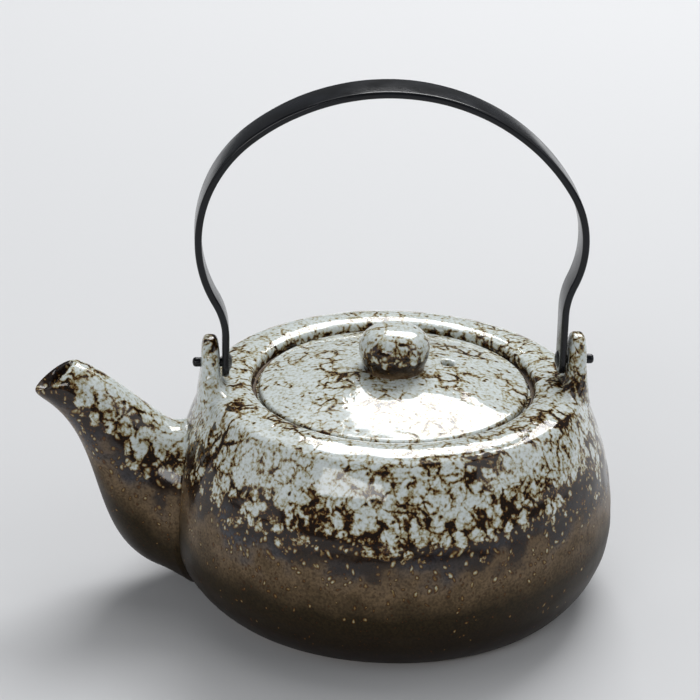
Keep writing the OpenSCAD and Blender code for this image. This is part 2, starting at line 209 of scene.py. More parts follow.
def surface(name, points, wrap_rows=False, **marks):
    """A closed mesh over a grid of points, columns joined round, poles merged, normals outwards."""
    rows, cols = points.shape[:2]
    index = np.arange(rows * cols).reshape(rows, cols)
    a = index if wrap_rows else index[:-1]
    b = np.roll(index, -1, 0) if wrap_rows else index[1:]
    faces = np.stack([a, np.roll(a, -1, 1), np.roll(b, -1, 1), b], -1).reshape(-1, 4)
    mesh = bpy.data.meshes.new(name)
    mesh.from_pydata(points.reshape(-1, 3) * MM, [], faces.tolist())
    spread = {key: np.broadcast_to(value, (rows, cols)).ravel() for key, value in marks.items()}
    mark(mesh, **spread)
    bm = bmesh.new()
    bm.from_mesh(mesh)
    bmesh.ops.remove_doubles(bm, verts=bm.verts, dist=1e-6)
    bmesh.ops.recalc_face_normals(bm, faces=bm.faces)
    bm.to_mesh(mesh)
    bm.free()
    mesh.shade_smooth()
    obj = bpy.data.objects.new(name, mesh)
    bpy.context.collection.objects.link(obj)
    return obj


def pierce(obj, holes):
    """Cuts tubes out of a piece. Each hole is (start, end, diameter) in millimetres."""
    sides = 48
    a = np.arange(sides)[:, None] * TURN / sides
    cutters = []
    for start, end, d in holes:
        start, end = np.array(start, float), np.array(end, float)
        way = (end - start) / np.linalg.norm(end - start)
        side = np.cross(way, [0, 1, 0])
        side /= np.linalg.norm(side)
        ring = d / 2 * (np.cos(a) * side + np.sin(a) * np.cross(way, side))
        tube = np.stack([start + 0 * ring, start + ring, end + ring, end + 0 * ring])
        cutters.append(surface("hole", tube))
    bpy.ops.object.select_all(action="DESELECT")
    for cutter in cutters:
        cutter.select_set(True)
    bpy.context.view_layer.objects.active = cutters[0]
    if len(cutters) > 1:
        bpy.ops.object.join()
    cutter = bpy.context.view_layer.objects.active
    cut = obj.modifiers.new("holes", "BOOLEAN")
    cut.operation, cut.solver, cut.object = "DIFFERENCE", "EXACT", cutter
    bpy.context.view_layer.update()
    graph = bpy.context.evaluated_depsgraph_get()
    mesh = bpy.data.meshes.new_from_object(obj.evaluated_get(graph))
    obj.modifiers.clear()
    obj.data = mesh
    bpy.data.objects.remove(cutter)


def mark_pot(mesh):
    """The pot's marks: each point's height over the edge of the pale run, and the foot's bare clay.

    The pale glaze thins down the rim's inner wall, whose dark foot at the ledge is partly painted
    shade, the inside is iron glaze, and the bare clay fades out just above the foot's edge.
    """
    p = np.empty(len(mesh.vertices) * 3, np.float32)
    mesh.vertices.foreach_get("co", p)
    p = p.reshape(-1, 3).astype(float) * PER_M
    z, rho = p[:, 2], np.hypot(p[:, 0], p[:, 1])
    rearward = np.cos(np.arctan2(p[:, 1], p[:, 0]))
    edge = RUN_Z + RUN_REAR * step(-0.1, 0.8, rearward) + RUN_SPOUT * step(-0.86, -0.98, rearward)
    outside = skin_depth(p) > -1.6
    in_gallery = (rho < RIM_R + 0.8) & (rho > RIM_R - 0.9) & (z > LEDGE_Z + 0.01)
    # The rim's inner wall: brown breaks where the glaze is thin, darkening towards the ledge partly
    # as painted shade where the lid sits
    gallery_glaze_and_shade = np.interp(z, [LEDGE_Z, 65.7, 66.6, 67.8], [-6, 2, 6, 16])
    above = np.where(in_gallery, gallery_glaze_and_shade, np.where(outside, z - edge, INSIDE_POT))
    bare = np.where(z < 1.6, np.maximum(step(1.5, 0.9, z), (rho < FOOT_R) * 1.0), 0)
    mark(mesh, above_edge=above, bare=bare)


def pot_skin():
    """The pot: its profile turned round Z, pierced by the strainer's rows of two, three and two.

    Its wall swells by sines of twice and three times the angle, and of the height for the rings.
    """
    foot_a = -np.arcsin((BELLY_Z - FOOT_EDGE_Z) / LOWER_R)
    floor_a = -np.arcsin((BELLY_Z - FLOOR_T) / (LOWER_R - WALL))
    lower_belly = arc(LOWER_C, LOWER_R, foot_a, 0, pitch=1)
    base = rounded([
        (0, FOOT_RECESS, 0), (FOOT_R - FOOT_W - FOOT_RECESS, FOOT_RECESS, 0.8),
        (FOOT_R - FOOT_W, 0, 0.8), (FOOT_R, 0, 0.7), (*lower_belly[1], 0)], pitch=2.5)
    outside = np.concatenate([
        lower_belly[2:],
        arc(UPPER_C, UPPER_R, 0, SHOULDER_A, pitch=1)[1:],
        arc(SHOULDER_C, SHOULDER_R, SHOULDER_A, CROWN_A, pitch=0.4)[1:],
        arc(CROWN_C, CROWN_R, CROWN_A, QUARTER, pitch=0.6)[1:],
        arc(ROLL_C, ROLL_R, QUARTER, ROLL_A, pitch=0.5)[1:],
        arc(RIM_C, RIM_EDGE, ROLL_A, np.pi, pitch=0.2)[1:]])
    upper = arc(UPPER_C, UPPER_R - WALL, SHOULDER_A, 0, pitch=2)
    lower = arc(LOWER_C, LOWER_R - WALL, 0, floor_a, pitch=1.5)
    gallery = rounded([
        (*outside[-1], 0), (RIM_R, LEDGE_Z, 0.8), (MOUTH_R, LEDGE_Z, 0.9), (MOUTH_R, NECK_Z, 0.9),
        (RIM_R, NECK_Z, 3), (RIM_R + WALL, SHOULDER_Z - WALL - GALLERY_DROP, 3), (*upper[0], 2.5),
        (*upper[2], 0)], pitch=1.2)[1:]
    floor_line = split(np.array([lower[-1], [0, FLOOR_T]]), pitch=4)
    profile = np.concatenate([base, outside, gallery, upper[3:], lower[1:-1], floor_line])
    points = revolve(profile, sides=320)
    angle = np.arctan2(points[..., 1], points[..., 0])
    r, z = profile[:, :1], profile[:, 1:]
    wall = step(0, 14, z) * step(60, 52, z) * step(20, 60, r)
    out_of_round = OVAL * np.sin(2 * angle + 0.7) + LOBES * np.sin(3 * angle + z / 16)
    swell = wall * (out_of_round + RINGS * np.sin(TURN * z / RING_PITCH) - DRAWN_IN)
    points[..., 0] += swell * np.cos(angle)
    points[..., 1] += swell * np.sin(angle)
    obj = surface("pot_skin", points)
    holes = []
    for row in range(-1, 2):
        count = 3 - abs(row) % 2
        z = STRAINER_Z + row * STRAINER_PITCH * np.sin(np.pi / 3)
        holes += [((-BELLY_R - 2, y, z), (-BELLY_R + 30, y, z), STRAINER_D)
                  for y in (np.arange(count) - (count - 1) / 2) * STRAINER_PITCH]
    pierce(obj, holes)
    mark_pot(obj.data)
    return obj


def cubic(p, t):
    """Point at t on a cubic curve: p weighted by (1-t)^3, 3t(1-t)^2, 3t^2(1-t) and t^3."""
    t = t[..., None]
    return ((1 - t) ** 3 * p[0] + 3 * t * (1 - t) ** 2 * p[1]
            + 3 * t * t * (1 - t) * p[2] + t ** 3 * p[3])


def spout_point(t, a, inset):
    """A point of the spout: an oval between its two lines at t, at angle a, drawn in by inset."""
    u, l = cubic(SPOUT_UPPER, t), cubic(SPOUT_LOWER, t)
    gap = np.linalg.norm(u - l, axis=-1)
    half_h = gap / 2 - inset
    half_w = mix(SPOUT_ROOT_HALF, SPOUT_TIP_HALF, t ** SPOUT_TAPER) - inset
    mid = (u + l) / 2 + (u - l) / gap[..., None] * (half_h * np.cos(a))[..., None]
    return np.stack([mid[..., 0], half_w * np.sin(a), mid[..., 1]], -1)


def spout_skin():
    """The spout: its outer oval from inside the wall to the mouth, a round lip, its channel back.

    The root flares where the clay was smoothed on to the wall, as the square of the nearness to
    the wall. Each sheet starts a little under the pot's skin. The lip is half an oval as wide as
    the wall: it closes over the last share of t, which is 2 mm at the top and 4 mm below.
    """
    a = np.arange(96) * TURN / 96
    s = np.linspace(0, 1, 110)[:, None] ** 1.2
    lip_r = SPOUT_WALL / 2
    lip_t = 1 - LIP_SHARE
    t = np.linspace(0, 0.9, 400)
    sheets = []
    for inset, sunk in ((0, SPOUT_SUNK), (SPOUT_WALL, CHANNEL_SUNK)):
        trial = spout_point(t[:, None] + 0 * a, a + 0 * t[:, None], inset)
        start = last_crossing(skin_depth(trial), t, -sunk)
        sheets.append(mix(start, lip_t, s))
    outer_t, inner_t = sheets[0], sheets[1][::-1]
    outer = spout_point(outer_t, a + 0 * s, 0 * s)
    flare_over = mix(FLARE_OVER_TOP, FLARE_OVER_SIDES, np.abs(np.sin(a)))
    near = np.maximum(0, 1 - np.maximum(0, skin_depth(outer)) / flare_over)
    outer = spout_point(outer_t, a + 0 * s, -SPOUT_FLARE * near ** 2)
    b = np.linspace(0, np.pi, 15)[1:-1, None]
    lip = spout_point(lip_t + np.sin(b) * (1 - lip_t) + 0 * a, a + 0 * b, lip_r * (1 - np.cos(b)))
    inner = spout_point(inner_t, a + 0 * s, SPOUT_WALL + 0 * s)
    points = np.concatenate([outer, lip, inner])
    x, z = points[..., 0], points[..., 2]
    over = z - (SPOUT_RUN_Z + SPOUT_RUN_RISE * np.maximum(0, SPOUT_RUN_X - x))
    along = np.concatenate([outer_t, lip_t + 0 * lip[..., 0], inner_t])
    above = np.interp(over, [-40, 0, 5, 10, 16], [-40, 0, 9, 19, 30])
    above = above - 6 * step(0.94, 0.99, along)
    above[len(outer) + 5:] = INSIDE_SPOUT
    return surface("spout_skin", points, wrap_rows=True, above_edge=above, bare=0.0)


def lug_point(z, w):
    """A point of a lug: a rounded oblong at height z, powers of the sine and cosine of angle w.

    Its foot spreads along the shoulder and curls inwards there, and its top closes round.
    """
    spread = (PIVOT_Z - np.maximum(z, LUG_SPREAD_Z)) / (PIVOT_Z - SHOULDER_Z)
    flare = np.maximum(0, spread) ** FLARE_POWER
    up = np.maximum(0, (z - PIVOT_Z) / (LUG_TOP_Z - PIVOT_Z))
    down = np.maximum(0, (LUG_SPREAD_Z - z) / (LUG_SPREAD_Z - LUG_ROOT_Z))
    close = np.sqrt(np.maximum(0, 1 - up ** TOP_POWER))
    close = close * np.sqrt(np.maximum(LUG_LEAST, 1 - down ** 2))
    lean = np.maximum(0, (PIVOT_Z - z) / (PIVOT_Z - LUG_ROOT_Z)) ** LEAN_POWER
    outer = LUG_OUT + LUG_LEAN * lean
    inner = LUG_IN - LUG_FOOT * flare ** 3
    half_t = (outer - inner) / 2 * np.sqrt(close)
    half_w = mix(LUG_HALF, LUG_ROOT_HALF, flare) * close
    side = half_w * np.sign(np.sin(w)) * np.abs(np.sin(w)) ** SIDE_POWER
    out = half_t * np.sign(np.cos(w)) * np.abs(np.cos(w)) ** FACE_POWER
    curl = flare * mix(1 / LUG_CURL, 1 / LUG_OUT, (1 + np.cos(w)) / 2)
    return np.stack([(inner + outer) / 2 + out - curl * side ** 2 / 2, side, z + 0 * w], -1)


def lug_skin(name, way):
    """A lug: its rings from just inside the wall up to a round top, turned to its end of the pot.

    Near the wall each ring is pushed outwards by a small fillet, where the clay was smoothed on.
    """
    w = (np.arange(96) + 0.5) * TURN / 96
    trial_z = np.linspace(LUG_ROOT_Z, LUG_TOP_Z - 1, 400)
    depth = skin_depth(lug_point(trial_z[:, None] + 0 * w, w + 0 * trial_z[:, None]))
    start = last_crossing(depth, trial_z, -LUG_SUNK)
    s = (1 - np.cos(np.linspace(0, np.pi, 70)[:, None])) / 2
    z = mix(start, LUG_TOP_Z, s)
    points = lug_point(z, w + 0 * z)
    near = np.maximum(0, 1 - np.maximum(0, skin_depth(points)) / LUG_FILLET_OVER)
    flat = points - points.mean(1, keepdims=True)
    flat[..., 2] = 0
    push = near[..., None] ** 2 * LUG_FILLET * flat
    points += push / np.maximum(1e-6, np.linalg.norm(flat, axis=-1, keepdims=True))
    points = np.concatenate([points[:1] * 0 + points[0].mean(0), points])
    above = LUG_PALE - 10 * step(LUG_TOP_Z - 12, LUG_TOP_Z, points[..., 2])
    points[..., 0] *= way
    obj = surface(name, points, above_edge=above, bare=0.0)
    bore = (way * (LUG_IN - 4), 0, PIVOT_Z), (way * (LUG_OUT + 4), 0, PIVOT_Z), BORE_D
    pierce(obj, [bore])
    return obj


def dome(rho):
    """Height of the lid's dome rho from its axis: its centre's, plus the root of R^2 - rho^2."""
    return DOME_C + np.sqrt(DOME_ARC ** 2 - rho ** 2)


def lid_skin():
    """The lid: rings that grow from the vent's circle to the lid's own, over the dome.

    They go on round the edge, down the flange, back under the dome and up the vent's shaft.
    """
    a = np.arange(240) * TURN / 240
    ring = np.stack([np.cos(a), np.sin(a)], -1)
    vent = VENT_AT * np.array([np.cos(VENT_A), np.sin(VENT_A)])
    vent_r = VENT_D / 2

    def between(w, r_out, r_in):
        return vent * (1 - w[:, None, None]) + mix(r_in, r_out, w)[:, None, None] * ring

    def dome_over(flat):
        return dome(np.hypot(flat[..., 0], flat[..., 1]))

    top = between(np.linspace(0, 1, 60) ** 1.15, DOME_R, vent_r + VENT_EDGE)
    top = np.dstack([top, dome_over(top)])
    under_r, under_z = FLANGE_R - FLANGE_T, LEDGE_Z - FLANGE_H
    edge_c = (DOME_R, LEDGE_Z + LID_EDGE_H - LID_EDGE)
    edge = np.concatenate([
        arc(edge_c, LID_EDGE, np.arccos(DOME_R / DOME_ARC), 0, pitch=0.25)[1:],
        rounded([
            (LID_R, LEDGE_Z + 0.9, 0), (LID_R, LEDGE_Z, 0.5), (FLANGE_R, LEDGE_Z, 0.6),
            (FLANGE_R, under_z, 1), (under_r, under_z, 1), (under_r, dome(under_r) - LID_T, 1.5),
            (under_r - 4, dome(under_r - 4) - LID_T, 0)], pitch=1.0)])
    edge = revolve(edge, sides=len(a))
    under = between(np.linspace(1, 0, 24)[1:], under_r - 4, vent_r)
    under = np.dstack([under, dome_over(under) - LID_T])
    b = np.linspace(0, QUARTER, 7)[1:-1]
    mouth = between(0 * b, 0, vent_r + VENT_EDGE * (1 - np.sin(b)))
    mouth = np.dstack([mouth, dome_over(mouth) - VENT_EDGE * (1 - np.cos(b))[:, None]])
    shaft = vent + vent_r * ring
    depths = (2.6, 1.6, VENT_EDGE)
    shaft = np.stack([np.column_stack([shaft, dome_over(shaft) - d]) for d in depths])
    points = np.concatenate([top, edge, under, shaft, mouth[::-1]])

    # The glaze thins at the lid's edge and in the vent, and the flange and underside are iron
    rho = np.hypot(points[..., 0], points[..., 1])
    above = np.full(points.shape[:2], ALL_PALE)
    above[len(top):] -= 14 * step(LID_R - 1.2, LID_R, rho)[len(top):]
    above[points[..., 2] < LEDGE_Z + 0.6] = LID_FLANGE
    above[len(top) + len(edge) - 10:] = UNDER_LID
    vent_rows = len(shaft) + len(mouth)
    thinning = np.interp(np.arange(vent_rows), [0, 1, 2, 4], [0, 20, 28, 30])
    above[-vent_rows:] = thinning[:, None]
    return surface("lid_skin", points, wrap_rows=True, above_edge=above, bare=0.0)


def knob_skin():
    """The knob: a bun turned round Z, its foot smoothed on to the lid with a small fillet.

    It swells from its foot by an eased square root, and closes as a power of the cosine.
    """
    t = np.linspace(0, 1, 40)
    swell = np.sqrt(t)
    low = np.stack([mix(KNOB_FOOT, KNOB_R, swell ** 2 * (3 - 2 * swell)), KNOB_BELLY * t], 1)
    a = np.linspace(0, QUARTER, 50)[1:]
    high = np.stack([
        KNOB_R * np.cos(a).clip(0) ** KNOB_ROUND, mix(KNOB_BELLY, KNOB_H, np.sin(a))], 1)
    seat = [[0, -KNOB_SUNK], [KNOB_FOOT + KNOB_FILLET, -KNOB_SUNK]]
    profile = np.concatenate([seat, low, high])
    profile[2:, 0] += KNOB_FILLET * np.maximum(0, 1 - profile[2:, 1] / KNOB_FILLET_OVER) ** 2
    points = revolve(profile + [0, dome(KNOB_FOOT)], sides=160)
    above = np.interp(profile[:, 1:], [0, 3.8, 5.4, 7, 8.6, 10.2, 11.6, KNOB_H],
                      [-7, -2, 3, 7, 12, 18, 25, 32])
    return surface("knob_skin", points, above_edge=above, bare=0.0)


def strap_line():
    """The strap's middle line in XZ, and the length along it.

    It is a chain of tangent arcs: leg, foot bend, bow, arch, bow, foot bend, leg.
    """
    leg_x = LUG_IN - STRAP_GAP - STRAP_T / 2
    arch_c = np.array([-ARCH_LEAN, ARCH_Z - ARCH_R])

    def bow(reach, z):
        drop = z - arch_c[1]
        return (ARCH_R ** 2 - reach ** 2 - drop ** 2) / (2 * (ARCH_R - reach))

    front_r = bow(FRONT_BOW - ARCH_LEAN, FRONT_BOW_Z)
    rear_r = bow(REAR_BOW + ARCH_LEAN, REAR_BOW_Z)
    front_c = np.array([front_r - FRONT_BOW, FRONT_BOW_Z])
    rear_c = np.array([REAR_BOW - rear_r, REAR_BOW_Z])
    front_bend = np.arccos(1 - (FRONT_BOW - leg_x) / (front_r + FOOT_BEND))
    rear_bend = np.arccos(1 - (REAR_BOW - leg_x) / (rear_r + FOOT_BEND))
    front_z = FRONT_BOW_Z - (front_r + FOOT_BEND) * np.sin(front_bend)
    rear_z = REAR_BOW_Z - (rear_r + FOOT_BEND) * np.sin(rear_bend)
    front_a = np.arctan2(front_c[1] - arch_c[1], front_c[0] - arch_c[0]) % TURN
    rear_a = np.arctan2(rear_c[1] - arch_c[1], rear_c[0] - arch_c[0])
    pitch = 0.5
    line = np.concatenate([
        [[-leg_x, PIVOT_Z - EYE_R]],
        arc((-leg_x - FOOT_BEND, front_z), FOOT_BEND, 0, front_bend, pitch),
        arc(front_c, front_r, np.pi + front_bend, front_a, pitch)[1:],
        arc(arch_c, ARCH_R, front_a, rear_a, pitch)[1:],
        arc(rear_c, rear_r, rear_a, -rear_bend, pitch)[1:],
        arc((leg_x + FOOT_BEND, rear_z), FOOT_BEND, np.pi - rear_bend, np.pi, pitch)[1:],
        [[leg_x, PIVOT_Z - EYE_R]]])
    length = np.concatenate([[0], np.cumsum(np.hypot(*np.diff(line, axis=0).T))])
    return line, length


def strap_skin():
    """The bail: a flat bar with rounded edges carried along its line, with a round eye at each pin.

    Its half width is the eye's circle at the ends and grows evenly with height to the arch. Its
    edges wave by up to 0.07 mm, as forged by hand, and the bar lies 0.03 mm inwards, so that it
    stays in the solid's box.
    """
    line, length = strap_line()
    total = length[-1]
    ends = EYE_R * (1 - np.cos(np.linspace(0, QUARTER, 22)))
    s = np.concatenate([ends[:-1], np.linspace(EYE_R, total - EYE_R, 420), total - ends[-2::-1]])
    p = np.stack([np.interp(s, length, line[:, k]) for k in (0, 1)], 1)
    slope = [np.interp(s, length, np.gradient(line[:, k], length)) for k in (0, 1)]
    tangent = np.stack(slope, 1)
    tangent /= np.linalg.norm(tangent, axis=1, keepdims=True)
    normal = np.stack([-tangent[:, 1], tangent[:, 0]], 1)
    d = np.minimum(s, total - s)
    taper = np.clip((p[:, 1] - PIVOT_Z) / TAPER_H, 0, 1)
    eye = np.sqrt(np.maximum(0, EYE_R ** 2 - (EYE_R - d) ** 2))
    half = np.where(d < EYE_R, eye, mix(EYE_R, STRAP_W / 2, taper))[:, None]
    edge = np.minimum(STRAP_EDGE, half)
    a = np.linspace(0, QUARTER, 6)
    turn = np.concatenate([a, a + QUARTER, a + np.pi, a + 3 * QUARTER])
    sign_t = np.repeat([1, -1, -1, 1], len(a))
    sign_y = np.repeat([1, 1, -1, -1], len(a))
    wave = 0.04 * np.sin(s / 5.1) + 0.03 * np.sin(s / 2.7 + 1)
    t_off = sign_t * (STRAP_T / 2 - edge) + edge * np.cos(turn) - STRAP_INSIDE
    y_off = sign_y * (half - edge) + edge * np.sin(turn)
    y_off = y_off * (1 + (wave / (STRAP_W / 2))[:, None])
    points = np.stack([
        p[:, :1] + normal[:, :1] * t_off, y_off, p[:, 1:] + normal[:, 1:] * t_off], -1)
    caps = [np.broadcast_to(points[i].mean(0), points[i].shape)[None] for i in (0, -1)]
    return surface("bail_strap", np.concatenate([caps[0], points, caps[1]]))


def pin_skin(name, way):
    """A pin: a profile turned round X.

    It has a domed rivet head inside the strap, a round shank through the lug and a softened end.
    """
    inner, tip = LUG_IN - STRAP_GAP - STRAP_T, LUG_OUT + PIN_OUT
    head_r = ((PIN_HEAD_D / 2) ** 2 + PIN_HEAD_H ** 2) / (2 * PIN_HEAD_H)
    head_a = np.arcsin(PIN_HEAD_D / 2 / head_r)
    head_c = (0, inner - PIN_HEAD_H + head_r)
    head = arc(head_c, head_r, -QUARTER, -QUARTER + head_a, pitch=0.2)
    shank = rounded([
        (*head[-1], 0), (PIN_D / 2, inner, 0.05), (PIN_D / 2, tip, PIN_EDGE),
        (0, tip + PIN_DOME, 0)], pitch=0.6)[1:]
    profile = np.concatenate([head, shank])
    profile[0, 0] = 0
    points = revolve(profile, sides=64)
    points = np.stack([way * points[..., 2], points[..., 1], points[..., 0] + PIVOT_Z], -1)
    return surface(name, points)


def linear(code):
    """An sRGB hex colour as linear red, green and blue."""
    c = np.array([int(code[i:i + 2], 16) for i in (1, 3, 5)]) / 255
    c = np.where(c <= 0.04045, c / 12.92, ((c + 0.055) / 1.055) ** 2.4)
    return (*c.tolist(), 1.0)


def grey(value):
    """A grey as a colour, for a ramp that carries a number."""
    return (value, value, value, 1.0)


def material(name):
    """An empty node material with its tree and its surface shader."""
    mat = bpy.data.materials.new(name)
    mat.use_nodes = True
    return mat, mat.node_tree, mat.node_tree.nodes["Principled BSDF"]


def add(tree, kind, inputs=None, stops=None, **settings):
    """Adds a node, sets its properties and a ramp's stops, and fills its inputs.

    An input takes a value, another node's output, or a node, which gives its first live output.
    """
    node = tree.nodes.new("ShaderNode" + kind)
    for key, value in settings.items():
        setattr(node, key, value)
    for key, value in (inputs or {}).items():
        if isinstance(value, bpy.types.Node):
            value = next(out for out in value.outputs if out.enabled)
        if isinstance(value, bpy.types.NodeSocket):
            tree.links.new(value, node.inputs[key])
        else:
            node.inputs[key].default_value = value
    for i, (at, colour) in enumerate(stops or []):
        spot = node.color_ramp.elements[i] if i < 2 else node.color_ramp.elements.new(at)
        spot.position, spot.color = at, colour
    return node


def ash_glaze():
    """Pale ash glaze run over an iron-brown one, dipped and fired to stoneware.

    The pale glaze lies in round pools that meet on the shoulder and part lower down, so the iron
    shows between them as black-brown veins with rusty, then olive rims. Below the run's edge only
    specks of it are left, on a grey-brown satin ground. The mark above_edge gives each point's
    height over that edge, and cover is the millimetres by which the pale glaze covers a point.
    """
    mat, tree, shader = material("ash glaze on iron stoneware")
    coords = add(tree, "TexCoord").outputs["Object"]
    above = add(tree, "Attribute", attribute_name="above_edge").outputs["Fac"]
    bare = add(tree, "Attribute", attribute_name="bare").outputs["Fac"]

    # The melt drifts by a millimetre or two, its rims fray by a few tenths, and it hangs downwards
    drift = add(tree, "TexNoise", {"Vector": coords, "Scale": PER_M / 7, "Detail": 1.0})
    fray = add(tree, "TexNoise", {"Vector": coords, "Scale": PER_M / 1.5, "Detail": 2.0})
    flow = add(tree, "VectorMath", {0: drift.outputs["Color"], 1: (5 * MM,) * 3, 2: coords},
               operation="MULTIPLY_ADD")
    flow = add(tree, "VectorMath", {0: fray.outputs["Color"], 1: (MM,) * 3, 2: flow},
               operation="MULTIPLY_ADD")
    flow = add(tree, "VectorMath", {0: flow, 1: (1, 1, 0.8)}, operation="MULTIPLY")

    # Height over the edge of the run, which laps up and down in tongues 10 mm wide.
    # The level is that height from 0, 40 mm below the edge, to 1, 40 mm above it
    tongues = add(tree, "TexNoise", {"Vector": coords, "Scale": PER_M / 10, "Detail": 2.0})
    lap = add(tree, "Math", {0: tongues, 1: 0.5}, operation="SUBTRACT")
    swing = add(tree, "MapRange", {
        "Value": above, "From Min": -20.0, "From Max": -7.0, "To Min": 7.0, "To Max": 30.0})
    height = add(tree, "Math", {0: lap, 1: swing, 2: above}, operation="MULTIPLY_ADD")
    level = add(tree, "MapRange", {"Value": height, "From Min": -40.0, "From Max": 40.0})

    # Round pools 3.6 mm apart: pale where a point is nearer to a pool's middle than the reach there
    pool_mm = 3.6
    pools = add(tree, "TexVoronoi", {"Vector": flow, "Scale": PER_M / pool_mm})
    reach = add(tree, "ValToRGB", {"Fac": level}, stops=[
        (0.46, grey(0)), (0.5, grey(0.34)), (0.57, grey(0.57)), (0.65, grey(0.71)),
        (0.74, grey(0.84)), (0.86, grey(1))])
    pool = add(tree, "Math", {0: reach, 1: pools}, operation="SUBTRACT")
    pool = add(tree, "Math", {0: pool, 1: pool_mm}, operation="MULTIPLY")

    # Broken veins along the edges of 5 mm plates, open only where a 12 mm noise runs high
    plate_mm = 5.0
    plates = add(tree, "TexVoronoi", {"Vector": flow, "Scale": PER_M / plate_mm},
                 feature="DISTANCE_TO_EDGE")
    opening = add(tree, "TexNoise", {"Vector": coords, "Scale": PER_M / 12, "Detail": 3.0})
    thick = add(tree, "MapRange", {
        "Value": level, "From Min": 0.68, "From Max": 0.86, "To Min": -2.1, "To Max": -2.36})
    width = add(tree, "Math", {0: opening, 1: 4.2, 2: thick}, operation="MULTIPLY_ADD")
    vein = add(tree, "Math", {0: plates, 1: plate_mm}, operation="MULTIPLY")
    vein = add(tree, "Math", {0: vein, 1: width}, operation="SUBTRACT")
    cover = add(tree, "Math", {0: pool, 1: vein}, operation="MINIMUM")

    # Iron dots of up to 0.9 mm that come up through the pale glaze, in two of five 2.6 mm cells
    dot_mm = 2.6
    dots = add(tree, "TexVoronoi", {"Vector": flow, "Scale": PER_M / dot_mm})
    pick = add(tree, "SeparateColor", {"Color": dots.outputs["Color"]})
    dot = add(tree, "Math", {0: pick.outputs["Red"], 1: 0.42, 2: -0.25}, operation="MULTIPLY_ADD")
    dot = add(tree, "Math", {0: dots, 1: dot}, operation="SUBTRACT")
    dot = add(tree, "Math", {0: dot, 1: dot_mm}, operation="MULTIPLY")
    cover = add(tree, "Math", {0: cover, 1: dot}, operation="MINIMUM")

    # Crumbs of about a millimetre fray the rims, stand in the dark gaps and dot the pale near them
    crumb_mm = 2.3
    deep = add(tree, "MapRange", {
        "Value": level, "From Min": 0.44, "From Max": 0.56, "To Min": -1.5, "To Max": -0.42})
    melt = add(tree, "Clamp", {"Value": cover, "Min": deep, "Max": 0.8})
    grain = add(tree, "TexNoise", {"Vector": coords, "Scale": PER_M / 1.05, "Detail": 2.0})
    cover = add(tree, "Math", {0: grain, 1: crumb_mm, 2: melt}, operation="MULTIPLY_ADD")
    cover = add(tree, "Math", {0: cover, 1: crumb_mm / 2}, operation="SUBTRACT")

    # Specks of 0.3 to 1.5 mm, common round the edge, fewer and smaller near the foot
    speck_mm = 1.7
    specks = add(tree, "TexVoronoi", {"Vector": flow, "Scale": PER_M / speck_mm})
    draw = add(tree, "SeparateColor", {"Color": specks.outputs["Color"]})
    share = add(tree, "ValToRGB", {"Fac": level}, stops=[
        (0.05, grey(0.03)), (0.26, grey(0.16)), (0.37, grey(0.55)), (0.46, grey(0.7)),
        (0.57, grey(0.6)), (0.72, grey(0.2))])
    there = add(tree, "Math", {0: draw.outputs["Red"], 1: share}, operation="LESS_THAN")
    size = add(tree, "Math", {0: draw.outputs["Green"], 1: 0.34, 2: 0.1}, operation="MULTIPLY_ADD")
    small = add(tree, "MapRange", {
        "Value": level, "From Min": 0.28, "From Max": 0.44, "To Min": 0.6})
    size = add(tree, "Math", {0: size, 1: small}, operation="MULTIPLY")
    size = add(tree, "Math", {0: size, 1: there}, operation="MULTIPLY")
    speck = add(tree, "Math", {0: size, 1: specks}, operation="SUBTRACT")
    speck = add(tree, "Math", {0: speck, 1: speck_mm}, operation="MULTIPLY")
    cover = add(tree, "Math", {0: cover, 1: speck}, operation="MAXIMUM")

    # Ground under the pale glaze: black-brown at the run's edge, grey-brown below, and darker
    # towards the foot as painted shade; the grey-brown's warmth is partly painted warm light
    # bounced up from below
    ground_and_foot_shade = add(tree, "ValToRGB", {"Fac": level}, stops=[
        (0.02, linear("#1e140b")), (0.23, linear("#2f2513")), (0.36, linear("#725e45")),
        (0.405, linear("#68553e")), (0.44, linear("#3a2c1e")), (0.48, linear("#23150a")),
        (0.6, linear("#1e1208"))])
    # A thin blue-grey haze under the edge, in patches of 26 mm
    haze = add(tree, "TexNoise", {"Vector": coords, "Scale": PER_M / 26, "Detail": 2.0})
    band = add(tree, "ValToRGB", {"Fac": level}, stops=[
        (0.34, grey(0)), (0.41, grey(0.6)), (0.46, grey(0.6)), (0.52, grey(0))])
    blue = add(tree, "MapRange", {"Value": haze, "From Min": 0.5, "From Max": 0.68})
    blue = add(tree, "Math", {0: blue, 1: band}, operation="MULTIPLY")
    ground_and_foot_shade = add(tree, "Mix", {"Factor": blue, "A": ground_and_foot_shade, "B": linear("#474e5a")},
                 data_type="RGBA")
    # Peppering of the ground, 0.8 mm
    pepper = add(tree, "TexNoise", {"Vector": coords, "Scale": PER_M / 0.8, "Detail": 1.0})
    dark = add(tree, "MapRange", {
        "Value": pepper, "From Min": 0.36, "From Max": 0.66, "To Min": 0.66, "To Max": 1.16})
    ground_and_foot_shade = add(tree, "VectorMath", {0: ground_and_foot_shade, "Scale": dark}, operation="SCALE")

    # The pale glaze from its rim inwards, over 2 mm: black-brown, rust, olive, then pale
    over = add(tree, "MapRange", {"Value": cover, "From Min": -1.0, "From Max": 1.0})
    rim = add(tree, "ValToRGB", {"Fac": over}, stops=[
        (0.34, linear("#1c1006")), (0.46, linear("#502f11")), (0.55, linear("#856e41")),
        (0.66, linear("#b0ac8f")), (0.82, linear("#cfd5d0")), (1.0, linear("#dde5e5"))])
    shown = add(tree, "MapRange", {"Value": cover, "From Min": -0.5, "From Max": -0.05})
    colour = add(tree, "Mix", {"Factor": shown, "A": ground_and_foot_shade, "B": rim}, data_type="RGBA")
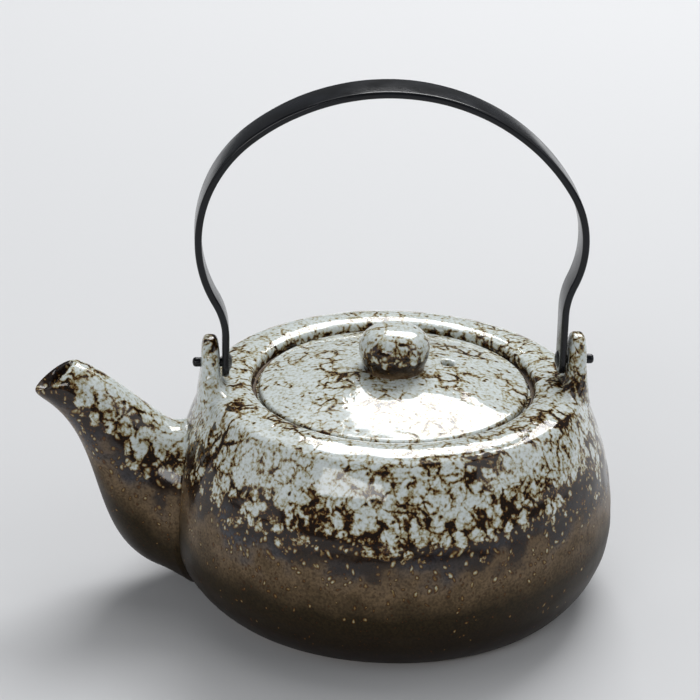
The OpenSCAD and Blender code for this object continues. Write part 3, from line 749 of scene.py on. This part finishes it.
    # The bare clay of the foot is sandy, with iron grit of about a millimetre
    sand = add(tree, "ValToRGB", {"Fac": pepper}, stops=[
        (0.3, linear("#453226")), (0.4, linear("#755f4c")), (0.55, linear("#836d59")),
        (0.72, linear("#9a8670"))])
    colour = add(tree, "Mix", {"Factor": bare, "A": colour, "B": sand}, data_type="RGBA")
    tree.links.new(colour.outputs["Result"], shader.inputs["Base Color"])

    # Glass-smooth where the ash glaze pooled, satin on the thin iron ground, dry on the bare foot
    gloss = add(tree, "ValToRGB", {"Fac": level}, stops=[
        (0.3, grey(0.42)), (0.42, grey(0.28)), (0.47, grey(0.12)), (0.6, grey(0.06))])
    dry = add(tree, "Math", {0: bare, 1: 0.5, 2: gloss}, operation="MULTIPLY_ADD")
    tree.links.new(dry.outputs[0], shader.inputs["Roughness"])
    shine = add(tree, "MapRange", {
        "Value": level, "From Min": 0.3, "From Max": 0.55, "To Min": 0.15, "To Max": 0.5})
    tree.links.new(shine.outputs["Result"], shader.inputs["Specular IOR Level"])

    # The glaze waves by about a tenth of a millimetre over 11 mm, and its pools stand 0.03 mm proud
    pool_rise, waves_to_pools = 0.03 * MM, 14.0
    waves = add(tree, "TexNoise", {"Vector": coords, "Scale": PER_M / 11, "Detail": 1.0})
    raised = add(tree, "MapRange", {"Value": melt, "From Min": -0.8, "From Max": 0.8})
    relief = add(tree, "Math", {0: waves, 1: waves_to_pools, 2: raised}, operation="MULTIPLY_ADD")
    bump = add(tree, "Bump", {"Height": relief, "Distance": pool_rise, "Strength": 1.0})
    tree.links.new(bump.outputs["Normal"], shader.inputs["Normal"])
    return mat


def black_steel():
    """Flat steel bar, blackened with a thin baked lacquer.

    It looks near black, with a soft sheen that clouds over 6 mm, faint forging ripples and a fine
    grit of 0.7 mm.
    """
    mat, tree, shader = material("blackened steel bar")
    coords = add(tree, "TexCoord").outputs["Object"]
    cloud = add(tree, "TexNoise", {"Vector": coords, "Scale": PER_M / 6, "Detail": 3.0})
    tone = add(tree, "ValToRGB", {"Fac": cloud}, stops=[
        (0.35, linear("#06070b")), (0.65, linear("#0f1219"))])
    tree.links.new(tone.outputs["Color"], shader.inputs["Base Color"])
    sheen = add(tree, "MapRange", {"Value": cloud, "To Min": 0.12, "To Max": 0.32})
    tree.links.new(sheen.outputs["Result"], shader.inputs["Roughness"])
    grit = add(tree, "TexNoise", {"Vector": coords, "Scale": PER_M / 0.7, "Detail": 2.0})
    ripple = add(tree, "Math", {0: cloud, 1: 3.0, 2: grit}, operation="MULTIPLY_ADD")
    bump = add(tree, "Bump", {"Height": ripple, "Distance": 0.02 * MM, "Strength": 1.0})
    tree.links.new(bump.outputs["Normal"], shader.inputs["Normal"])
    shader.inputs["Specular IOR Level"].default_value = 0.38
    return mat


clay, steel = ash_glaze(), black_steel()

pieces = [
    (pot_skin(), "pot", "pot_body", "brown_glaze", clay),
    (spout_skin(), "pot", "spout", "brown_glaze", clay),
    (lug_skin("front_lug_skin", -1), "pot", "front_lug", "pale_glaze", clay),
    (lug_skin("rear_lug_skin", 1), "pot", "rear_lug", "pale_glaze", clay),
    (lid_skin(), "lid", "lid", "pale_glaze", clay),
    (knob_skin(), "lid", "lid_knob", "pale_glaze", clay),
    (strap_skin(), "bail", "bail_handle", "black_steel", steel),
    (pin_skin("front_pin", -1), "bail", "front_pivot_pin", "black_steel", steel),
    (pin_skin("rear_pin", 1), "bail", "rear_pivot_pin", "black_steel", steel),
]
for obj, body, node_name, slot, mat in pieces:
    obj.data.materials.clear()
    obj.data.materials.append(mat)
    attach(obj, body)
    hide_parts(node_name)

# Floor and surroundings
bpy.ops.mesh.primitive_plane_add(size=6)
floor = bpy.context.object
floor.name = "floor"
paper, _, shader = material("pale paper")
shader.inputs["Base Color"].default_value = linear("#d6d7d9")
shader.inputs["Roughness"].default_value = 0.9
floor.data.materials.append(paper)

scene = bpy.context.scene
scene.world = bpy.data.worlds.new("studio")
scene.world.use_nodes = True
background = scene.world.node_tree.nodes["Background"]
background.inputs["Color"].default_value = linear("#e8ecf0")
background.inputs["Strength"].default_value = 0.15


def softbox(name, at, target, size, power):
    """A rectangular lamp at a point, turned to another point, in metres and watts."""
    lamp = bpy.data.lights.new(name, "AREA")
    lamp.shape, lamp.size, lamp.size_y, lamp.energy = "RECTANGLE", size[0], size[1], power
    obj = bpy.data.objects.new(name, lamp)
    obj.location = at
    obj.rotation_euler = (Vector(target) - Vector(at)).to_track_quat("-Z", "Y").to_euler()
    bpy.context.collection.objects.link(obj)


softbox("back_softbox", (0.45, 1.27, 1.52), (0, 0, 0.07), (1.24, 0.76), 29.5)
softbox("ceiling_panel", (0.2, 0.8, 1.95), (0, 0, 0.07), (2.2, 1.6), 12.5)
softbox("front_window", (-0.57, -1.13, 0.58), (0, 0, 0.05), (0.8, 0.28), 4.1)
softbox("side_fill", (1.2, -0.35, 0.9), (0, 0, 0.05), (1.4, 1.2), 4.6)
softbox("spout_fill", (-1.3, -0.25, 0.5), (-0.08, 0, 0.05), (0.9, 0.9), 1.5)

# The photograph's view: a focal length in pixels of its width, and the camera's turn and place
SENSOR, FOCAL_PX, PICTURE_PX = 36.0, 2739.85, 700
camera = bpy.data.cameras.new("camera")
camera.sensor_fit, camera.sensor_width = "HORIZONTAL", SENSOR
camera.lens = FOCAL_PX * SENSOR / PICTURE_PX
view = bpy.data.objects.new("camera", camera)
view.matrix_world = Matrix((
    (0.997832, 0.008163, -0.065326, -0.069214),
    (-0.062992, 0.406786, -0.911349, -0.773409),
    (0.019134, 0.913487, 0.406418, 0.423901),
    (0, 0, 0, 1)))
bpy.context.collection.objects.link(view)
scene.camera = view
scene.view_settings.view_transform = "Standard"
